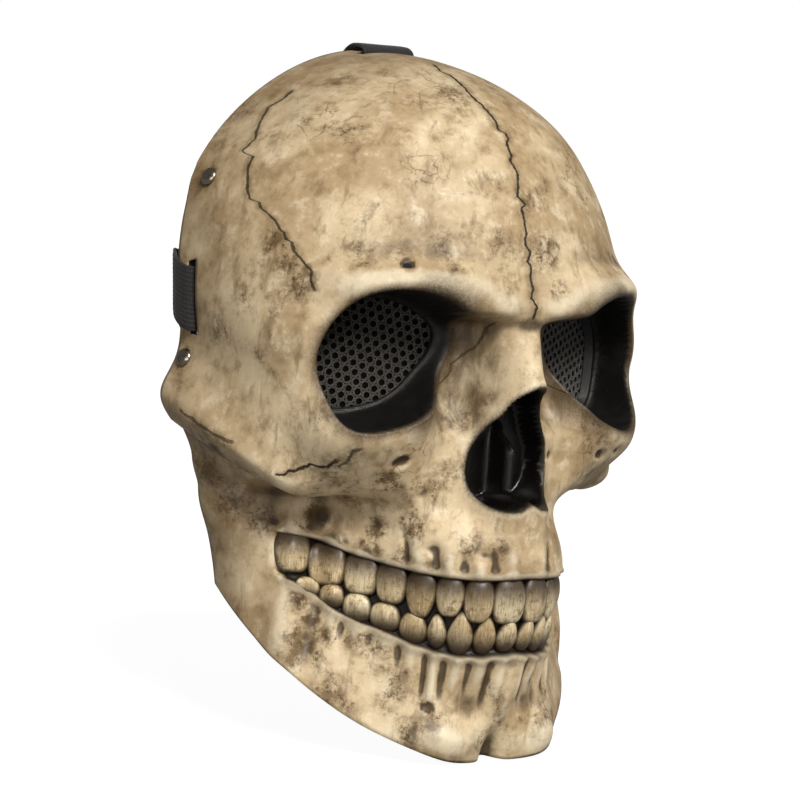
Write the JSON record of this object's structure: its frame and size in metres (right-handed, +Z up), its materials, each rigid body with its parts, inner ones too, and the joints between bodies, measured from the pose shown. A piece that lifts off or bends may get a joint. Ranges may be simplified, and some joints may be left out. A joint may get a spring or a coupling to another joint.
{
  "type": "skull mask",
  "caption": "Full-face skull mask: rigid moulded bone-look shell with netted eye sockets, blind nose, relief teeth and elastic head straps.",
  "frame": {"origin": "brow seat: on the midline at eye height, where the wearer's brow meets the inside of the mask", "axes": "+Z up as worn, +Y backward into the wearer's head, +X to the wearer's left; the face looks along -Y"},
  "size_m": [0.1994, 0.1638, 0.2665],
  "materials": {
    "bone_plastic": "hand painted bone with dark brown wash",
    "net": "black spacer net",
    "webbing": "black ribbed elastic",
    "nickel": "nickel-plated dome",
    "foam": "black closed-cell foam"
  },
  "bodies": {
    "root": {"mask_shell": "bone_plastic", "eye_net_right": "net", "eye_net_left": "net", "side_strap": "webbing", "top_strap": "webbing", "rivet_upper_right": "nickel", "pad_upper_right": "foam", "rivet_upper_left": "nickel", "pad_upper_left": "foam", "rivet_lower_right": "nickel", "pad_lower_right": "foam", "rivet_lower_left": "nickel", "pad_lower_left": "foam"}
  },
  "joints": []
}
